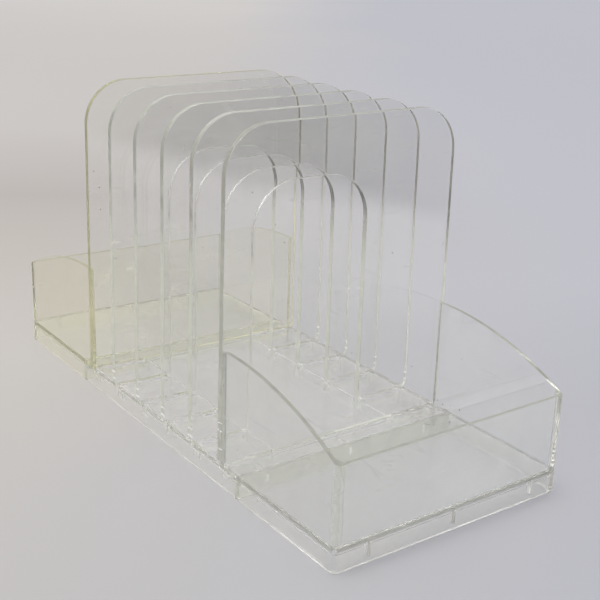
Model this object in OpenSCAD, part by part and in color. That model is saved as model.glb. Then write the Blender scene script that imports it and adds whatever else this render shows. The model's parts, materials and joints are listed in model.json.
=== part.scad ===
// Clear plastic desk file sorter: a low hollow base with six upright panels standing in
// sockets in its deck, and an open tray coupled to each end. The four inner panels have a
// tall arched cut-out and the two end panels are solid and form the backs of the trays.
// +X runs along the row of panels, +Y across it and +Z up. The origin is the middle of the
// footprint on the table. All sizes are in millimetres.

/* [Base] */
// Length over both end trays above their skirts
total_l = 356; // [330:1:400]
// Width of the base's deck and of the trays above their skirts
base_w = 151; // [146:1:156]
// Height of the deck above the table
deck_z = 13.5; // [13:0.5:16]
// Thickness of the deck plate
deck_t = 3.3; // [3:0.1:3.4]
// How far the skirts stand out past the deck and the tray walls
skirt_ledge = 0.6; // [0.2:0.1:1]
// Thickness of the skirts and of the tray walls
wall_t = 2.2; // [1.8:0.1:2.6]
// Thickness of the ribs under the deck
rib_t = 1.5; // [1.2:0.1:1.8]
// Height of the lower edge of the ribs above the table
rib_z = 3; // [1:0.5:4]

/* [Panels] */
// Width of a panel just above the deck
panel_w = 154.6; // [152:0.2:158]
// Width of a panel where its rounded top corners begin
panel_top_w = 151.4; // [148:0.2:158]
// Radius of a panel's lower corners, where it overhangs the deck
foot_r = 4; // [3:0.5:5]
// Height of the panels' top edge above the table
top_z = 195.5; // [170:0.5:220]
// Distance from one panel to the next
pitch = 31.2; // [29:0.1:32]
// Thickness of a panel
panel_t = 3.8; // [3:0.1:4]
// Radius of a panel's top corners
corner_r = 26; // [10:1:36]
// Half the width of the arched cut-out
arch_half_w = 39; // [36:0.5:40]
// Height of the top of the arched cut-out above the table
arch_top_z = 156.5; // [140:0.5:165]
// Radius of the cut-out's upper corners
arch_r = 28; // [10:1:34]
// How far the panels' tongues reach below the deck
tongue_d = 8; // [6:0.5:9]

/* [End trays] */
// Height of a tray's end wall above the table
tray_end_z = 57; // [40:1:65]
// Height of a tray's side walls where they meet the end panel
tray_back_z = 79; // [70:1:90]
// Rise of the side walls' curved top edge above a straight line
tray_bulge = 6.2; // [4:0.1:9]
// Radius of a tray's outer upright corners
tray_corner_r = 3; // [2.4:0.1:4]
// Radius inside a tray's upright corners
tray_inner_r = 4; // [2.4:0.1:5]
// Where the side skirts of the base and a tray meet, from the middle of the base
seam_x = 92.5; // [90:0.5:96]

/* [Couplings] */
// Distance of the outer coupling tongues from the middle line
tab_y = 55; // [50:1:60]
// Width of the slot that a coupling tongue goes into
tab_slot_w = 2.4; // [2.2:0.1:3.2]
// Height of the lower edge of that slot above the table
tab_slot_z = 3.5; // [3.2:0.1:3.8]
// Height of that slot
tab_slot_h = 5; // [4.4:0.1:5]

/* [Fits] */
// Gap left between pieces that slide past each other
gap = 0.3; // [0.2:0.05:0.4]
// Gap left where one piece rests on another
rest_gap = 0.1; // [0.05:0.05:0.2]

/* [Hidden] */

$fn = 96;
clear_grey = [0.90, 0.92, 0.90, 0.45];
clear_olive = [0.88, 0.88, 0.76, 0.50];

half_w = base_w / 2;
half_l = total_l / 2;
skirt_half_w = half_w + skirt_ledge;
skirt_half_l = half_l + skirt_ledge;
inside_w = base_w - 2 * wall_t;

// The panels stand at half pitches either side of the middle, in slots a little wider
// than themselves. Panel 1 is the one nearest +X.
panel_count = 6;
function panel_x(i) = ((panel_count + 1) / 2 - i) * pitch;
slot_w = panel_t + 2 * gap;
slot_in_y = arch_half_w + 3;
slot_out_y = half_w - 4.5;
tongue_w = slot_out_y - slot_in_y - 2 * gap;
foot_w = half_w - slot_out_y + gap;

// Each end of the deck is stepped down, and the tray's floor lies flush in the step.
floor_t = wall_t;
step_x = panel_x(1) + slot_w / 2;
step_z = deck_z - floor_t - rest_gap;
step_plate_t = 2.5;
deck_under_z = deck_z - deck_t;
ledge_z = deck_under_z;
step_under_z = step_z - step_plate_t;
step_in_x = panel_x(1) - slot_w / 2 - rib_t;

tray_x0 = step_x + gap;
tray_skirt_x0 = seam_x + gap;
floor_under_z = deck_z - floor_t;
tab_rows = [-tab_y, 0, tab_y];
tab_l = seam_x - step_x - rib_t - 0.8;
eps = 0.05;

// A box given by its lowest and highest corners.
module span(low, high) {
    translate(low)
        cube(high - low);
}

// A box and its mirror image in Y.
module span_both_sides(low, high) {
    span(low, high);
    mirror([0, 1, 0])
        span(low, high);
}

// A flat outline drawn in Y and Z, given a thickness along X and centred on x.
module upright(x, thickness) {
    translate([x - thickness / 2, 0, 0])
        rotate([90, 0, 90])
            linear_extrude(height = thickness)
                children();
}

// A shape that stands on the line z0, with its two upper corners rounded.
module round_topped(half_width, z0, z1, r) {
    translate([-half_width, z0])
        square([2 * half_width, z1 - z0 - r]);
    translate([r - half_width, z0])
        square([2 * (half_width - r), z1 - z0]);
    round_corners(half_width - r, z1 - r, r);
}

// Two circles of radius r, y either side of the middle and at the height z.
module round_corners(y, z, r) {
    for (side = [-1, 1])
        translate([side * y, z])
            circle(r = r);
}

// ---- centre base ----

// The two ribs that hold a panel's tongue, from y0 out to y1.
module socket_ribs(x, y0, y1, under_z) {
    for (side = [-1, 1])
        translate([x + side * (slot_w + rib_t) / 2 - rib_t / 2, 0, 0])
            span_both_sides([0, y0, rib_z], [rib_t, y1, under_z + eps]);
}

// The slots through the deck for the two tongues of a panel, and the shallower notches
// that carry them on to the deck's edge over the skirt.
module panel_slots(x) {
    span_both_sides(
        [x - slot_w / 2, slot_in_y, rib_z - eps],
        [x + slot_w / 2, slot_out_y, deck_z + eps]
    );
    span_both_sides(
        [x - slot_w / 2, slot_out_y - eps, ledge_z],
        [x + slot_w / 2, half_w + eps, deck_z + eps]
    );
}

// The slots for coupling tongues, between x0 and x1 and up to z1.
module tab_slots(x0, x1, z1) {
    for (y = tab_rows)
        span([x0, y - tab_slot_w / 2, tab_slot_z], [x1, y + tab_slot_w / 2, z1]);
}

module base_shell() {
    difference() {
        union() {
            span([-seam_x, -half_w, 0], [seam_x, half_w, deck_z]);
            span([-seam_x, -skirt_half_w, 0], [seam_x, skirt_half_w, ledge_z]);
        }
        span(
            [-step_in_x, -inside_w / 2, -eps],
            [step_in_x, inside_w / 2, deck_under_z]
        );
        span(
            [-seam_x + wall_t, -inside_w / 2, -eps],
            [seam_x - wall_t, inside_w / 2, step_under_z]
        );
        for (side = [0, 1])
            mirror([side, 0, 0])
                span(
                    [step_x, -half_w - eps, step_z],
                    [seam_x + eps, half_w + eps, deck_z + eps]
                );
    }
}

module base_ribs() {
    for (i = [2 : panel_count - 1])
        socket_ribs(panel_x(i), arch_half_w, slot_out_y, deck_under_z);
    for (i = [1, panel_count])
        socket_ribs(panel_x(i), -eps, slot_out_y, step_under_z);
    span_both_sides(
        [-step_in_x - eps, arch_half_w, rib_z],
        [step_in_x + eps, arch_half_w + rib_t, deck_under_z + eps]
    );
}

module centre_base() {
    color(clear_grey)
        difference() {
            union() {
                base_shell();
                base_ribs();
            }
            for (i = [1 : panel_count])
                panel_slots(panel_x(i));
            tab_slots(seam_x - wall_t - eps, seam_x + eps, tab_slot_z + tab_slot_h);
            tab_slots(-seam_x - eps, -seam_x + wall_t + eps, tab_slot_z + tab_slot_h);
        }
}

// ---- end trays ----

// The plan of a tray from x0 to its outer end, set in by inset, with two round corners.
module tray_plan(x0, inset, r) {
    x1 = half_l - inset;
    y1 = half_w - inset;
    translate([x0, -y1])
        square([x1 - r - x0, 2 * y1]);
    translate([x0, r - y1])
        square([x1 - x0, 2 * (y1 - r)]);
    for (side = [-1, 1])
        translate([x1 - r, side * (y1 - r)])
            circle(r = r);
}

// The wall along three sides of the plan, open towards the panels.
module tray_wall_plan(x0) {
    difference() {
        tray_plan(x0, 0, tray_corner_r);
        tray_plan(x0 - 1, wall_t, tray_inner_r);
    }
}

// The side view of the walls: a shallow arc from the back down to the end wall.
module tray_side_view() {
    run = half_l - wall_t - tray_x0;
    drop = tray_back_z - tray_end_z;
    chord = sqrt(run * run + drop * drop);
    arc_r = (chord * chord / 4 + tray_bulge * tray_bulge) / (2 * tray_bulge);
    depth = arc_r - tray_bulge;
    mid_x = tray_x0 + run / 2;
    mid_z = (tray_back_z + tray_end_z) / 2;
    intersection() {
        translate([tray_x0, deck_z - floor_t])
            square([run, tray_back_z + tray_bulge]);
        translate([mid_x - depth * drop / chord, mid_z - depth * run / chord])
            circle(r = arc_r, $fn = 240);
    }
    translate([tray_x0 + run - 1, deck_z - floor_t])
        square([wall_t + 2, tray_end_z - deck_z + floor_t]);
}

module tray_walls() {
    intersection() {
        linear_extrude(height = tray_back_z + 10)
            tray_wall_plan(tray_x0);
        translate([0, half_w + 1, 0])
            rotate([90, 0, 0])
                linear_extrude(height = base_w + 2)
                    tray_side_view();
    }
}

module tray_floor() {
    translate([0, 0, floor_under_z])
        linear_extrude(height = floor_t)
            tray_plan(tray_x0, 0, tray_corner_r);
}

// The skirt under the floor. Below the ledge it stands out past the wall above it.
module tray_skirt() {
    difference() {
        union() {
            linear_extrude(height = floor_under_z + eps)
                tray_plan(tray_skirt_x0, 0, tray_corner_r);
            linear_extrude(height = ledge_z)
                tray_plan(tray_skirt_x0, -skirt_ledge, tray_corner_r + skirt_ledge);
        }
        translate([0, 0, -eps])
            linear_extrude(height = floor_under_z + eps)
                tray_plan(tray_skirt_x0 + wall_t, wall_t, tray_inner_r);
        tab_slots(half_l - wall_t - eps, skirt_half_l + eps, floor_under_z);
    }
}

// The three tongues that reach through the end skirt of the base.
module tray_tongues() {
    for (y = tab_rows)
        span(
            [tray_skirt_x0 - tab_l, y - tab_slot_w / 2 + gap, tab_slot_z + gap],
            [tray_skirt_x0 + eps, y + tab_slot_w / 2 - gap, tab_slot_z + tab_slot_h - gap]
        );
}

module end_tray(tint) {
    color(tint) {
        tray_walls();
        tray_floor();
        tray_skirt();
        tray_tongues();
    }
}

module end_tray_1() {
    end_tray(clear_grey);
}

module end_tray_2() {
    mirror([1, 0, 0])
        end_tray(clear_olive);
}

// ---- panels ----

// The shoulders that a panel stands on, and the tongues that go into the deck: a long one
// on each side and a shallow foot that carries it out to the deck's edge.
module panel_tongues() {
    for (side = [-1, 1]) {
        translate([side * (slot_in_y + slot_out_y) / 2 - tongue_w / 2, deck_z - tongue_d])
            square([tongue_w, tongue_d + 1]);
        translate([side * (slot_out_y + half_w - 3 * gap) / 2 - foot_w / 2, ledge_z + gap])
            square([foot_w, deck_t + 1]);
    }
}

// A solid panel's outline: its sides lean in a little from the deck up to the round corners.
module panel_outline() {
    low_z = deck_z + rest_gap;
    side_z0 = low_z + foot_r;
    side_z1 = top_z - corner_r;
    low_half = panel_w / 2;
    top_half = panel_top_w / 2;
    polygon([[-low_half, side_z0], [low_half, side_z0], [top_half, side_z1], [-top_half, side_z1]]);
    round_corners(low_half - foot_r, side_z0, foot_r);
    round_corners(top_half - corner_r, side_z1, corner_r);
    translate([foot_r - low_half, low_z])
        square([panel_w - 2 * foot_r, foot_r + eps]);
    translate([corner_r - top_half, side_z1 - eps])
        square([panel_top_w - 2 * corner_r, corner_r + eps]);
    panel_tongues();
}

module end_panel(i, tint) {
    color(tint)
        upright(panel_x(i), panel_t)
            panel_outline();
}

module arch_divider(i) {
    color(clear_grey)
        upright(panel_x(i), panel_t)
            difference() {
                panel_outline();
                round_topped(arch_half_w, 0, arch_top_z, arch_r);
            }
}

centre_base();
end_tray_1();
end_tray_2();
end_panel(1, clear_grey);  // end_panel_1
end_panel(6, clear_olive);  // end_panel_2
arch_divider(2);  // arch_divider_1
arch_divider(3);  // arch_divider_2
arch_divider(4);  // arch_divider_3
arch_divider(5);  // arch_divider_4
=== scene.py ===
"""Clear plastic desk file sorter: looks, rounded edges, floor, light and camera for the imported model."""

import json
import math

import bpy
from mathutils import Matrix, Vector

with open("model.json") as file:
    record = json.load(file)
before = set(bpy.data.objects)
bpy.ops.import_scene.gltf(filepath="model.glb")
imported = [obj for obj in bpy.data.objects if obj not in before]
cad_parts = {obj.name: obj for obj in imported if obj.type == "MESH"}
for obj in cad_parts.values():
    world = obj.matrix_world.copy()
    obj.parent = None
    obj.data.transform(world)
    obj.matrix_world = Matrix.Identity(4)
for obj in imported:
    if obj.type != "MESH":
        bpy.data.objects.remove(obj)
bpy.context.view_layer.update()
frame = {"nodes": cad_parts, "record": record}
NODES = frame["nodes"]
MM = 0.001


# ---------------------------------------------------------------- camera

CAMERA_PLACE = (0.5285, -0.3543, 0.2948)
CAMERA_YAW, CAMERA_PITCH, CAMERA_ROLL = 144.01, -19.46, 1.81
CAMERA_LENS = 66.3


def make_camera():
    """The camera stands above end tray 1, a little to one side, and is very slightly rolled."""
    place = Vector(CAMERA_PLACE)
    yaw, pitch, roll = (math.radians(a) for a in (CAMERA_YAW, CAMERA_PITCH, CAMERA_ROLL))
    ahead = Vector((math.cos(pitch) * math.cos(yaw), math.cos(pitch) * math.sin(yaw), math.sin(pitch)))
    right = ahead.cross(Vector((0, 0, 1))).normalized()
    up = right.cross(ahead)
    rolled_right = right * math.cos(roll) + up * math.sin(roll)
    rolled_up = up * math.cos(roll) - right * math.sin(roll)
    camera = bpy.data.objects.new("camera", bpy.data.cameras.new("camera"))
    camera.data.lens = CAMERA_LENS
    camera.data.clip_start = 0.01
    camera.data.clip_end = 100
    bpy.context.scene.collection.objects.link(camera)
    axes = Matrix((rolled_right, rolled_up, -ahead)).transposed()
    camera.matrix_world = Matrix.Translation(place) @ axes.to_4x4()
    bpy.context.scene.camera = camera


# ---------------------------------------------------------------- nodes


class Graph:
    """Short calls for building a material's nodes."""

    def __init__(self, tree):
        self.tree = tree
        tree.nodes.clear()

    def node(self, kind, values=None, **settings):
        made = self.tree.nodes.new(kind)
        for name, value in settings.items():
            setattr(made, name, value)
        for name, value in (values or {}).items():
            socket = made.inputs[name]
            if isinstance(value, bpy.types.NodeSocket):
                self.tree.links.new(value, socket)
            else:
                socket.default_value = value
        return made

    def math(self, operation, a, b=0.0, clamp=False):
        made = self.node("ShaderNodeMath", {0: a, 1: b}, operation=operation, use_clamp=clamp)
        return made.outputs[0]

    def times(self, first, *others):
        for other in others:
            first = self.math("MULTIPLY", first, other)
        return first

    def most(self, first, *others):
        for other in others:
            first = self.math("MAXIMUM", first, other)
        return first

    def above(self, value, limit):
        """1 where a length is over this many mm, else 0."""
        return self.math("GREATER_THAN", value, limit * MM)

    def below(self, value, limit):
        return self.math("LESS_THAN", value, limit * MM)

    def spread(self, value, low, high, to_low=0.0, to_high=1.0):
        """Maps low..high to to_low..to_high and holds the ends."""
        made = self.node(
            "ShaderNodeMapRange",
            {"Value": value, "From Min": low, "From Max": high, "To Min": to_low, "To Max": to_high},
        )
        return made.outputs["Result"]

    def fade(self, value, low, high, to_low=0.0, to_high=1.0):
        """The same for a length, with low and high in mm."""
        return self.spread(value, low * MM, high * MM, to_low, to_high)

    def parts(self, vector):
        made = self.node("ShaderNodeSeparateXYZ", {"Vector": vector})
        return made.outputs["X"], made.outputs["Y"], made.outputs["Z"]

    def along(self, vector, direction):
        made = self.node("ShaderNodeVectorMath", {0: vector, 1: direction}, operation="DOT_PRODUCT")
        return made.outputs["Value"]

    def noise(self, where, scale, detail, **more):
        values = {"Vector": where, "Scale": scale, "Detail": detail, **more}
        return self.node("ShaderNodeTexNoise", values).outputs["Fac"]

    def mix_colours(self, share, a, b):
        made = self.node("ShaderNodeMix", {"Factor": share, "A": a, "B": b}, data_type="RGBA")
        return made.outputs["Result"]

    def mix_shaders(self, share, a, b):
        return self.node("ShaderNodeMixShader", {0: share, 1: a, 2: b}).outputs["Shader"]

    def ramp(self, value, stops):
        made = self.node("ShaderNodeValToRGB", {"Fac": value})
        held = made.color_ramp.elements
        while len(held) < len(stops):
            held.new(0.5)
        for stop, (place, colour) in zip(held, stops):
            stop.position = place
            stop.color = (*colour, 1)
        return made.outputs["Color"]


# ---------------------------------------------------------------- edges of the plastic
#
# A polished edge of clear plastic shows as a satin line. Each function below gives how much of the
# satin shows at a point and its painted lightness, from 0 for black to 1 for the full edge colour:
# painted light and shade that make the edges lighter or darker by place. Lengths are in mm, and a
# pair is where a change starts and where it ends.

# The edges' lightness below is painted light and shade, set by place.
MIDDLE_TONE = 0.5
ARCH_SATIN, LEG_SATIN, PLAIN_SATIN = 0.1, 0.72, 0.8

NARROW_TO_BROAD = 0.35, 0.75  # the normal's X from a narrow face to a broad one
# Painted light low on a far edge and painted shade high on it.
UPPER_HALF = 100, 128
FAR_SHADE_ENDS, FAR_SHADE = (165, 180), 0.3

ARCH_HALF_WIDTH, ARCH_TOP = 39.6, 157
ARCH_STARTS = 118, 132
# Painted light on the legs and at the near corner, painted shade at the arch's far shoulder and near foot.
LEG_LIGHT_ENDS, LEG_LIGHT = (105, 150), 0.75
NEAR_CORNER, NEAR_CORNER_LIGHT = (166, 192), 0.32
FAR_SHOULDER_Y, FAR_SHOULDER_Z = (27, 32), (125, 132)
NEAR_FOOT_STARTS, NEAR_FOOT_ENDS = (112, 118), (128, 138)
ARCH_PAINTED_SHADE_SATIN, ARCH_PAINTED_SHADE_TONE = 0.45, 0.4

# Painted light low on a plain panel's near edge.
PLAIN_LIGHT_ENDS, PLAIN_LIGHT = (60, 90), 0.35
TRAY_HALF_WIDTH = 75.2  # a panel stands proud of the tray's side walls past this
TRAY_SIDE_TOP, BESIDE_WALL_SATIN = (78, 79.5), 0.62


def narrow_faces(g, normal, amount):
    """This much on a panel's narrow faces, which run round its outline, and none on its two large ones."""
    return g.spread(g.math("ABSOLUTE", g.parts(normal)[0]), *NARROW_TO_BROAD, amount, 0.0)


def arched_panel_edges(g, y, z, near):
    """The painted light, the painted shade and the satin of a panel with a cut-out; the painted shade lies
    at the arch's far shoulder and near foot.
    """
    # Painted light on the legs and at the near upper corner.
    corner = g.times(near, g.fade(z, *NEAR_CORNER, 0.0, NEAR_CORNER_LIGHT))
    light = g.most(g.fade(z, *LEG_LIGHT_ENDS, LEG_LIGHT, 0.0), corner)
    inner = g.below(g.math("ABSOLUTE", y), ARCH_HALF_WIDTH)
    arch = g.times(inner, g.fade(z, *ARCH_STARTS), g.below(z, ARCH_TOP))
    # Painted shade at the arch's far shoulder and at its near foot.
    far_shoulder = g.times(g.fade(y, *FAR_SHOULDER_Y), g.fade(z, *FAR_SHOULDER_Z))
    near_foot = g.times(near, g.fade(z, *NEAR_FOOT_STARTS), g.fade(z, *NEAR_FOOT_ENDS, 1.0, 0.0))
    painted_shade = g.times(g.most(far_shoulder, near_foot), inner, g.below(z, ARCH_TOP))
    satin = g.most(g.spread(arch, 0.0, 1.0, LEG_SATIN, ARCH_SATIN), g.times(painted_shade, ARCH_PAINTED_SHADE_SATIN))
    return light, painted_shade, satin


def panel_edges(g, where, normal, arched):
    """Painted light and shade on a panel's edges: lightest low down and at the near upper corner, where
    little plastic lies behind them, with painted shade high on the far edge.
    """
    x, y, z = g.parts(where)
    far = g.math("GREATER_THAN", y, 0.0)
    near = g.math("SUBTRACT", 1.0, far)
    upper = g.fade(z, *UPPER_HALF)
    if arched:
        light, painted_shade, satin = arched_panel_edges(g, y, z, near)
    else:
        low = g.times(near, g.fade(z, *PLAIN_LIGHT_ENDS, PLAIN_LIGHT, 0.0))
        light = g.most(g.times(far, g.math("SUBTRACT", 1.0, upper)), low)
        painted_shade, satin = 0.0, PLAIN_SATIN
    # Painted shade high on the far edge, then painted light and shade together as the edge's lightness.
    shaded = g.times(far, upper, g.fade(z, *FAR_SHADE_ENDS, 1.0, 0.0))
    painted_tone = g.math("SUBTRACT", g.spread(light, 0.0, 1.0, MIDDLE_TONE, 1.0), g.times(shaded, FAR_SHADE))
    painted_tone = g.math("SUBTRACT", painted_tone, g.times(painted_shade, ARCH_PAINTED_SHADE_TONE), clamp=True)
    covered = g.times(narrow_faces(g, normal, 1.0), satin)
    if not arched:
        beside_wall = g.times(
            g.above(g.math("ABSOLUTE", y), TRAY_HALF_WIDTH),
            g.fade(z, *TRAY_SIDE_TOP, BESIDE_WALL_SATIN, 0.0),
            g.above(x, 0),
        )
        covered = g.most(covered, beside_wall)
    return covered, painted_tone


FACES_UP = 0.3, 0.7  # the normal's Z from a wall to a rim
RIMS_FROM, RIM_SATIN = 20, 0.75
WALL_END, WALLS_FROM = 80.8, 15  # the tray's side walls start before this X and above the deck
# The last of these is painted light on the aged tray's wall ends.
WALL_END_SATIN, AGED_WALL_END_SATIN, AGED_WALL_END_PAINTED_LIGHT = 0.6, 0.4, 0.85
PLATE_HALF_WIDTH, PLATE_HALF_LENGTH = 75.2, 177.7  # the deck plate's edge shows past these
PLATE_STARTS, PLATE_ENDS = (10.6, 11.6), (12.9, 13.7)
BASE_TO_TRAY, BASE_PLATE_SATIN, TRAY_PLATE_SATIN = (92, 93), 0.36, 0.6
# The second of these is painted light on the base's plate edge.
BASE_HALF_LENGTH, BASE_PLATE_PAINTED_LIGHT = 92.5, 2.0
SEAM_X, SEAM_TOP, SEAM_SATIN = (92.4, 92.9), 11, 0.5
ROUND_CORNER = 0.15, 0.35  # the product of the normal's X and Y from a flat wall to a round corner
CORNERS_FROM, CORNER_SATIN = 14, 0.3


def tray_edges(g, where, normal):
    """The same for the base and the trays: rims, wall ends, the deck plate's edge, seam and corners, with
    painted light that makes the seam, the round corners, the aged wall ends and the base's plate edge
    lighter.
    """
    x, y, z = g.parts(where)
    normal_x, normal_y, normal_z = g.parts(normal)
    out_x, out_y = g.math("ABSOLUTE", x), g.math("ABSOLUTE", y)
    rim = g.times(g.spread(normal_z, *FACES_UP, 0.0, RIM_SATIN), g.above(z, RIMS_FROM))

    aged = g.below(x, 0)
    wall_end = g.times(g.below(out_x, WALL_END), g.above(z, WALLS_FROM))
    wall_satin = g.times(wall_end, g.spread(aged, 0.0, 1.0, WALL_END_SATIN, AGED_WALL_END_SATIN))

    outside = g.most(g.above(out_y, PLATE_HALF_WIDTH), g.above(out_x, PLATE_HALF_LENGTH))
    level = g.times(g.fade(z, *PLATE_STARTS), g.fade(z, *PLATE_ENDS, 1.0, 0.0))
    plate = g.times(outside, level, g.fade(out_x, *BASE_TO_TRAY, BASE_PLATE_SATIN, TRAY_PLATE_SATIN))

    seam = g.times(g.above(out_x, SEAM_X[0]), g.below(out_x, SEAM_X[1]), g.below(z, SEAM_TOP), SEAM_SATIN)
    turn = g.times(g.math("ABSOLUTE", normal_x), g.math("ABSOLUTE", normal_y))
    corner = g.spread(turn, *ROUND_CORNER, 0.0, CORNER_SATIN)
    corner = g.times(corner, g.above(z, CORNERS_FROM), g.above(x, 0))

    # Painted light: the seam, the round corners, the aged wall ends and the base's plate edge are drawn
    # lighter.
    light = g.spread(g.most(seam, corner), 0.0, CORNER_SATIN, MIDDLE_TONE, 1.0)
    painted_light_wall_end = g.times(aged, wall_end, AGED_WALL_END_PAINTED_LIGHT)
    painted_light_plate = g.times(plate, g.below(out_x, BASE_HALF_LENGTH), BASE_PLATE_PAINTED_LIGHT)
    painted_tone = g.math("MAXIMUM", light, g.most(painted_light_wall_end, painted_light_plate), clamp=True)
    return g.most(rim, wall_satin, seam, corner, plate), painted_tone


# ---------------------------------------------------------------- wear, dust and painted glints

# Each noise: its scale per metre and its detail.
WAVES, SMUDGES, STREAKS, HAZE, CRUMBS = (22.0, 1.0), (60.0, 6.0), (90.0, 3.0), (14.0, 7.0), (700.0, 1.0)
SMEARS, SMEARED_PLACES = (1.3, 3.0), (26.0, 2.0)
SMEAR_STRETCH, SMEAR_WIDTH = (1.0, 9.0, 34.0), 0.006

# Height and half height in mm of the painted glints on a panel's outer edges, and where those edges are.
ARCHED_PANEL_GLINTS = ((18.0, 0.8), (22.4, 0.65))
PLAIN_PANEL_GLINTS = ((15.6, 0.5), (23.4, 0.4), (34.0, 0.5), (38.4, 0.4))
GLINTS_FROM_Y, GLINTS_FROM_X = 76.6, -70

# Dust: cells per metre, and the dot's radius in cells. Then the share of the cells that have a dot.
DUST_DOTS, CRUMB_DOTS = (150.0, 0.05), (480.0, 0.2)
TRAY_DUST, PANEL_DUST, CORNER_CRUMBS = 0.12, 0.03, 0.45
CRUMBS_MIDDLE = (88 * MM, 66 * MM, 14 * MM)
CRUMBS_REACH, CRUMBS_HEIGHT = 20, (14.5, 22)


def painted_glints(g, where, levels):
    """Painted glints: small white spots on a panel's outer edges, broken up by a fine noise."""
    x, y, z = g.parts(where)
    outer = g.times(g.above(g.math("ABSOLUTE", y), GLINTS_FROM_Y), g.above(x, GLINTS_FROM_X))
    marks = 0.0
    for level, reach in levels:
        away = g.math("ABSOLUTE", g.math("SUBTRACT", z, level * MM))
        marks = g.most(marks, g.below(away, reach))
    return g.times(outer, marks, g.spread(g.noise(where, *CRUMBS), 0.42, 0.5))


def specks(g, where, scale, radius, share):
    """Dust: a dot of this radius in this share of the cells."""
    cells = g.node("ShaderNodeTexVoronoi", {"Vector": where, "Scale": scale})
    draw = g.node("ShaderNodeSeparateColor", {"Color": cells.outputs["Color"]}).outputs["Red"]
    dot = g.math("LESS_THAN", cells.outputs["Distance"], radius)
    return g.times(dot, g.math("LESS_THAN", draw, share))


def crumbs_in_corner(g, where):
    """The crumbs that lie in the far corner of end tray 1, beside the panel."""
    away = g.node("ShaderNodeVectorMath", {0: where, 1: CRUMBS_MIDDLE}, operation="DISTANCE")
    within = g.below(away.outputs["Value"], CRUMBS_REACH)
    lying = g.times(within, g.fade(g.parts(where)[2], *CRUMBS_HEIGHT, 1.0, 0.0))
    return g.times(g.math("GREATER_THAN", lying, 0.3), specks(g, where, *CRUMB_DOTS, CORNER_CRUMBS))


def wipe_marks(g, where):
    """Thin bright smears left by a cloth: contour lines of a stretched noise, in a few places only."""
    stretched = g.node("ShaderNodeMapping", {"Vector": where, "Scale": SMEAR_STRETCH})
    field = g.noise(stretched.outputs["Vector"], *SMEARS)
    line = g.spread(g.math("ABSOLUTE", g.math("SUBTRACT", field, 0.5)), 0.0, SMEAR_WIDTH, 1.0, 0.0)
    return g.times(line, g.spread(g.noise(where, *SMEARED_PLACES), 0.56, 0.68))


# ---------------------------------------------------------------- clear plastic

IOR = 1.49
TRAY, PANEL, ARCHED_PANEL = "tray", "panel", "arched panel"
BLACK = (0, 0, 0, 1)
DUST = (0.12, 0.09, 0.06, 1)
# The white of the painted glints.
GLINT_WHITE = (1, 1, 1, 1)
LET_THROUGH = (0.997, 0.997, 0.995, 1)  # what a lamp's ray keeps at each surface
SKIRT_LETS_THROUGH = (0.74, 0.74, 0.75, 1)  # the same at the skirts on the side away from the lamp
SMUDGE_ROUGHNESS, LAID_ON_ROUGHNESS, NARROW_ROUGHNESS, SATIN_ROUGHNESS = 0.03, 0.14, 0.10, 0.35
WAVE_HEIGHT = 0.01 * MM
THIN_FILM, SKIRT_FILM, WIPE_FILM = 0.05, 0.22, 0.25
SKIRT_TOP, SKIRT_HALF_WIDTH, SKIRT_HALF_LENGTH = 10.2, 73, 175


def skirts(g, where):
    """Where the skirts are, and the two of them that throw the object's soft contact shadow."""
    x, y, z = g.parts(where)
    out_x, out_y = g.math("ABSOLUTE", x), g.math("ABSOLUTE", y)
    low = g.below(z, SKIRT_TOP)
    every = g.times(low, g.most(g.above(out_y, SKIRT_HALF_WIDTH), g.above(out_x, SKIRT_HALF_LENGTH)))
    shading = g.times(low, g.most(g.above(y, SKIRT_HALF_WIDTH), g.above(x, SKIRT_HALF_LENGTH)))
    return every, shading


def polished_plastic(g, where, normal, kind, tint):
    """Refracting plastic with slight waves and smudges, rougher on narrow faces and where things lie."""
    waves = g.noise(where, *WAVES)
    bump = g.node("ShaderNodeBump", {"Height": waves, "Strength": 1.0, "Distance": WAVE_HEIGHT})
    roughness = g.spread(g.noise(where, *SMUDGES), 0.45, 0.75, 0.0, SMUDGE_ROUGHNESS)
    if kind == TRAY:
        laid_on = g.times(g.spread(g.parts(normal)[2], 0.7, 0.9), g.below(g.parts(where)[2], WALLS_FROM))
        rougher = g.times(laid_on, LAID_ON_ROUGHNESS)
    else:
        rougher = narrow_faces(g, normal, NARROW_ROUGHNESS)
    made = g.node(
        "ShaderNodeBsdfPrincipled",
        {
            "Base Color": tint,
            "Roughness": g.math("ADD", roughness, rougher),
            "IOR": IOR,
            "Transmission Weight": 1.0,
            "Normal": bump.outputs["Normal"],
        },
    )
    return made.outputs["BSDF"]


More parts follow.
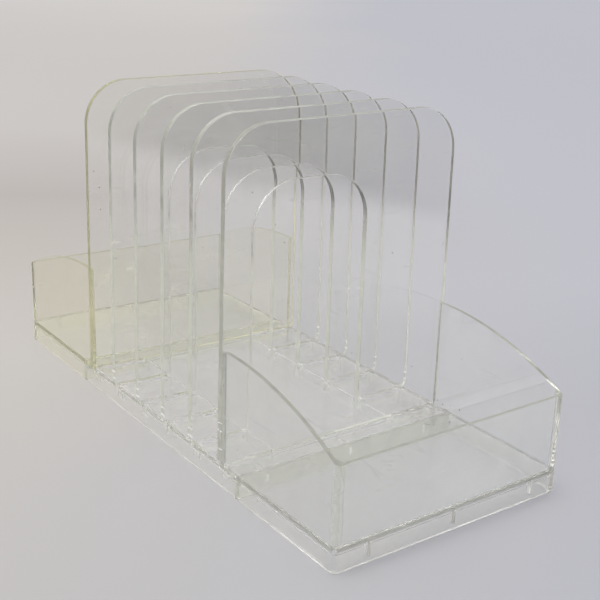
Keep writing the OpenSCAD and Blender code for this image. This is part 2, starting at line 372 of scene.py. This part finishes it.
def clear_plastic(name, kind, surface_tint, edge_colour, body_colour, body_density, film_colour):
    material = bpy.data.materials.new(name)
    material.use_nodes = True
    g = Graph(material.node_tree)
    spot = g.node("ShaderNodeTexCoord")
    where, normal = spot.outputs["Object"], spot.outputs["Normal"]
    polished = polished_plastic(g, where, normal, kind, surface_tint)

    if kind == TRAY:
        edge, painted_tone = tray_edges(g, where, normal)
    else:
        edge, painted_tone = panel_edges(g, where, normal, kind == ARCHED_PANEL)
    # The edge colour made lighter or darker by the painted light and shade.
    painted_edge_tint = g.mix_colours(painted_tone, BLACK, edge_colour)
    satin_look = {"Base Color": painted_edge_tint, "Roughness": SATIN_ROUGHNESS, "IOR": IOR}
    satin = g.node("ShaderNodeBsdfPrincipled", satin_look)
    edge = g.times(edge, g.spread(g.noise(where, *STREAKS), 0.35, 0.65, 0.8, 1.1))
    surface = g.mix_shaders(edge, polished, satin.outputs["BSDF"])

    film = g.node("ShaderNodeBsdfTranslucent", {"Color": film_colour})
    haze = g.noise(where, *HAZE, Roughness=0.65)
    filmed = g.most(g.spread(haze, 0.45, 0.75, 0.0, THIN_FILM), g.times(wipe_marks(g, where), WIPE_FILM))
    dirt = specks(g, where, *DUST_DOTS, TRAY_DUST if kind == TRAY else PANEL_DUST)
    passed = LET_THROUGH
    if kind == TRAY:
        every_skirt, shading_skirts = skirts(g, where)
        filmed = g.most(filmed, g.times(every_skirt, g.spread(haze, 0.3, 0.7, THIN_FILM, SKIRT_FILM)))
        dirt = g.most(dirt, crumbs_in_corner(g, where))
        passed = g.mix_colours(shading_skirts, LET_THROUGH, SKIRT_LETS_THROUGH)
    surface = g.mix_shaders(filmed, surface, film.outputs["BSDF"])
    dust = g.node("ShaderNodeBsdfDiffuse", {"Color": DUST})
    surface = g.mix_shaders(dirt, surface, dust.outputs["BSDF"])
    if kind != TRAY:
        levels = ARCHED_PANEL_GLINTS if kind == ARCHED_PANEL else PLAIN_PANEL_GLINTS
        # Painted glint: a white diffuse made to face up, lit like a top face, so it shows as a bright
        # spot.
        painted_glint = g.node("ShaderNodeBsdfDiffuse", {"Color": GLINT_WHITE, "Normal": (0.0, 0.0, 1.0)})
        surface = g.mix_shaders(painted_glints(g, where, levels), surface, painted_glint.outputs["BSDF"])

    ray = g.node("ShaderNodeLightPath")
    lamps = g.most(ray.outputs["Is Shadow Ray"], ray.outputs["Is Diffuse Ray"])
    open_to_light = g.node("ShaderNodeBsdfTransparent", {"Color": passed})
    both = g.mix_shaders(lamps, surface, open_to_light.outputs["BSDF"])
    body = g.node("ShaderNodeVolumeAbsorption", {"Color": body_colour, "Density": body_density})
    out = g.node("ShaderNodeOutputMaterial")
    g.tree.links.new(both, out.inputs["Surface"])
    g.tree.links.new(body.outputs["Volume"], out.inputs["Volume"])
    return material


# ---------------------------------------------------------------- pieces

# For each material slot of the record: edge colour, body colour, body density per metre, film colour.
LOOKS = {
    "clear_plastic": ((0.74, 0.76, 0.66, 1), (0.82, 0.84, 0.72, 1), 1.6, (0.94, 0.93, 0.86, 1)),
    "aged_clear_plastic": ((0.74, 0.73, 0.46, 1), (0.86, 0.84, 0.45, 1), 4.0, (0.96, 0.94, 0.76, 1)),
}
TINTS = {
    "base": (1.0, 1.0, 0.998, 1),
    "panel": (0.984, 0.986, 0.984, 1),
    "divider": (0.966, 0.968, 0.967, 1),
    "clear tray": (0.967, 0.970, 0.960, 1),
    "aged tray": (0.975, 0.972, 0.915, 1),
}
EDGE_RADIUS, WELD_WITHIN = 0.35 * MM, 0.002 * MM
FLAT_WITHIN, SHARP_FROM = math.radians(0.4), math.radians(35)


def round_edges(piece):
    """Moulded edges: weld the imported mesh, join its flat triangles, then round what is sharp."""
    weld = piece.modifiers.new("weld", "WELD")
    weld.merge_threshold = WELD_WITHIN
    flat = piece.modifiers.new("flat", "DECIMATE")
    flat.decimate_type = "DISSOLVE"
    flat.angle_limit = FLAT_WITHIN
    bevel = piece.modifiers.new("edges", "BEVEL")
    bevel.limit_method = "ANGLE"
    bevel.angle_limit = SHARP_FROM
    bevel.width = EDGE_RADIUS
    bevel.segments = 2
    bevel.harden_normals = False
    normals = piece.modifiers.new("normals", "WEIGHTED_NORMAL")
    normals.keep_sharp = False
    normals.weight = 100


def kind_and_tint(name, aged):
    if name == "centre_base":
        return TRAY, "base"
    if name.startswith("end_panel"):
        return PANEL, "panel"
    if name.startswith("arch_divider"):
        return ARCHED_PANEL, "divider"
    return TRAY, "aged tray" if aged else "clear tray"


def finish_pieces():
    slots = {p["node"]: p["material_slot"] for p in frame["record"]["subparts"]}
    made = {}
    for name, piece in NODES.items():
        slot = slots[name]
        kind, tint = kind_and_tint(name, slot.startswith("aged"))
        label = f"{slot}_{kind}_{tint}".replace(" ", "_")
        if label not in made:
            made[label] = clear_plastic(label, kind, TINTS[tint], *LOOKS[slot])
        for held in piece.material_slots:
            held.material = made[label]
        round_edges(piece)


# ---------------------------------------------------------------- floor and light

# Where along the depth range, and the paper's colour there, with painted light and shade: the warm side is
# painted as lit from the left, with a painted fold of shade, and the cool side as a bluish shade.
WARM_LIT_SIDE = (
    (0.00, (0.50, 0.485, 0.465)),
    (0.12, (0.545, 0.52, 0.49)),
    (0.20, (0.487, 0.46, 0.432)),
    (0.25, (0.450, 0.418, 0.407)),
    (0.36, (0.54, 0.52, 0.505)),
    (1.00, (0.66, 0.64, 0.63)),
)
# Painted bluish shade on the right side of the paper.
COOL_SHADED_SIDE = (
    (0.00, (0.455, 0.475, 0.545)),
    (0.10, (0.455, 0.465, 0.515)),
    (0.18, (0.50, 0.505, 0.56)),
    (0.37, (0.51, 0.52, 0.575)),
    (1.00, (0.54, 0.55, 0.61)),
)
# Directions along the floor: towards its far end and across it. Ranges along them are in metres.
AWAY, ACROSS = (-0.809, 0.588, 0.0), (0.588, 0.809, 0.0)
DEPTH_RANGE, WARM_TO_COOL = (-0.3, 2.9), (-0.26, 0.30)
PAPER_WAVES, PAPER_SHIFT = {"Scale": 2.2, "Detail": 2.0}, (0.25, 0.25, 0.25)
# Painted reflections: a light grey and a near black that only mirrored rays see in the floor.
PAINTED_REFLECTION_WHITE = (0.78, 0.78, 0.78, 1)
PAINTED_REFLECTION_BLACK = (0.03, 0.03, 0.032, 1)
# The painted reflections lie between two lines through the origin; these are the lines' normals.
SECTOR_START, SECTOR_END = (-0.242, 0.970, 0.0), (-0.788, 0.616, 0.0)
SECTOR_SOFT = 0.12
BESIDE, BEYOND = (0.804, 0.594, 0.0), (0.51, 0.86, 0.0)
BRIGHT_REFLECTION_BESIDE, DARK_REFLECTION_BESIDE, DARK_REFLECTION_BEYOND = (0.235, 0.33), (0.28, 0.34), (0.55, 0.62)
FLOOR_HALF = 6.0
FLOOR_DROP = 0.3 * MM  # keeps the floor clear of the object's underside


def floor_paper():
    """Pale paper with painted light and shade: a warm painted light on the left, a cooler painted shade on
    the right, and a soft painted fold of shade behind.

    Mirrored rays alone also see painted reflections, a bright patch and a near-black patch painted into
    the floor beside the object. A ray that passes sheets of plastic turns an even number of times, and one
    that is also mirrored an odd number.
    """
    material = bpy.data.materials.new("floor_paper")
    material.use_nodes = True
    g = Graph(material.node_tree)
    where = g.node("ShaderNodeTexCoord").outputs["Object"]
    slow = g.node("ShaderNodeTexNoise", {"Vector": where, **PAPER_WAVES}).outputs["Color"]
    shift = g.node("ShaderNodeVectorMath", {0: slow, 1: (0.5, 0.5, 0.5)}, operation="SUBTRACT")
    moved = {0: shift.outputs["Vector"], 1: PAPER_SHIFT, 2: where}
    spot = g.node("ShaderNodeVectorMath", moved, operation="MULTIPLY_ADD").outputs["Vector"]
    depth = g.spread(g.along(spot, AWAY), *DEPTH_RANGE)
    side = g.node(
        "ShaderNodeMapRange",
        {"Value": g.along(spot, ACROSS), "From Min": WARM_TO_COOL[0], "From Max": WARM_TO_COOL[1]},
        interpolation_type="SMOOTHSTEP",
    )
    # The paper's colour carries painted light and shade, warm and lit on the left, cool and shaded on the
    # right.
    paper = g.mix_colours(side.outputs["Result"], g.ramp(depth, WARM_LIT_SIDE), g.ramp(depth, COOL_SHADED_SIDE))

    ray = g.node("ShaderNodeLightPath")
    odd = g.math("GREATER_THAN", g.math("MODULO", ray.outputs["Ray Depth"], 2.0), 0.5)
    past_start = g.spread(g.along(where, SECTOR_START), -SECTOR_SOFT, 0.0)
    before_end = g.spread(g.along(where, SECTOR_END), 0.0, SECTOR_SOFT, 1.0, 0.0)
    mirrored = g.times(ray.outputs["Is Glossy Ray"], odd, past_start, before_end)
    beside, beyond = g.along(where, BESIDE), g.along(where, BEYOND)
    # Painted reflections for the plastic to mirror: a bright patch and a near-black patch.
    painted_bright_reflection = g.times(mirrored, g.spread(beside, *BRIGHT_REFLECTION_BESIDE))
    painted_dark_reflection = g.times(mirrored, g.spread(beyond, *DARK_REFLECTION_BEYOND), g.spread(beside, *DARK_REFLECTION_BESIDE))
    colour = g.mix_colours(painted_dark_reflection, g.mix_colours(painted_bright_reflection, paper, PAINTED_REFLECTION_WHITE), PAINTED_REFLECTION_BLACK)
    surface = g.node("ShaderNodeBsdfPrincipled", {"Base Color": colour, "Roughness": 0.9})
    out = g.node("ShaderNodeOutputMaterial")
    g.tree.links.new(surface.outputs["BSDF"], out.inputs["Surface"])
    return material


def make_floor():
    mesh = bpy.data.meshes.new("floor")
    half = FLOOR_HALF
    corners = [(-half, -half, 0), (half, -half, 0), (half, half, 0), (-half, half, 0)]
    mesh.from_pydata(corners, [], [(0, 1, 2, 3)])
    floor = bpy.data.objects.new("floor", mesh)
    bpy.context.scene.collection.objects.link(floor)
    floor.location.z = -FLOOR_DROP
    floor.data.materials.append(floor_paper())


def area_light(name, place, target, size, power, colour):
    lamp = bpy.data.lights.new(name, "AREA")
    lamp.shape = "DISK"
    lamp.size = size
    lamp.energy = power
    lamp.color = colour
    held = bpy.data.objects.new(name, lamp)
    bpy.context.scene.collection.objects.link(held)
    held.location = place
    held.rotation_mode = "QUATERNION"
    held.rotation_quaternion = (Vector(target) - Vector(place)).to_track_quat("-Z", "Y")


SKY_COLOUR = (1.0, 0.99, 0.985, 1)
SKY_HEIGHTS, SKY_LEVELS = (0.05, 0.9), (0.52, 1.1)


def make_light():
    """A pale room that is lighter overhead, and one large soft lamp on the left."""
    world = bpy.data.worlds.new("studio")
    bpy.context.scene.world = world
    world.use_nodes = True
    g = Graph(world.node_tree)
    height = g.parts(g.node("ShaderNodeTexCoord").outputs["Generated"])[2]
    level = g.spread(height, *SKY_HEIGHTS, *SKY_LEVELS)
    sky = g.node("ShaderNodeBackground", {"Color": SKY_COLOUR, "Strength": level})
    out = g.node("ShaderNodeOutputWorld")
    g.tree.links.new(sky.outputs["Background"], out.inputs["Surface"])
    area_light(
        "window",
        place=(-0.9, -1.1, 1.3),
        target=(0, 0, 0.05),
        size=0.9,
        power=9.0,
        colour=(1.0, 0.985, 0.96),
    )


BOUNCES, TRANSPARENT_BOUNCES = 160, 64


def set_colours():
    """Plain colours, and enough bounces for light caught inside the plastic to get out again."""
    scene = bpy.context.scene
    scene.view_settings.view_transform = "Standard"
    scene.view_settings.look = "None"
    scene.cycles.max_bounces = BOUNCES
    scene.cycles.transmission_bounces = BOUNCES
    scene.cycles.glossy_bounces = BOUNCES
    scene.cycles.transparent_max_bounces = TRANSPARENT_BOUNCES


make_camera()
finish_pieces()
make_floor()
make_light()
set_colours()
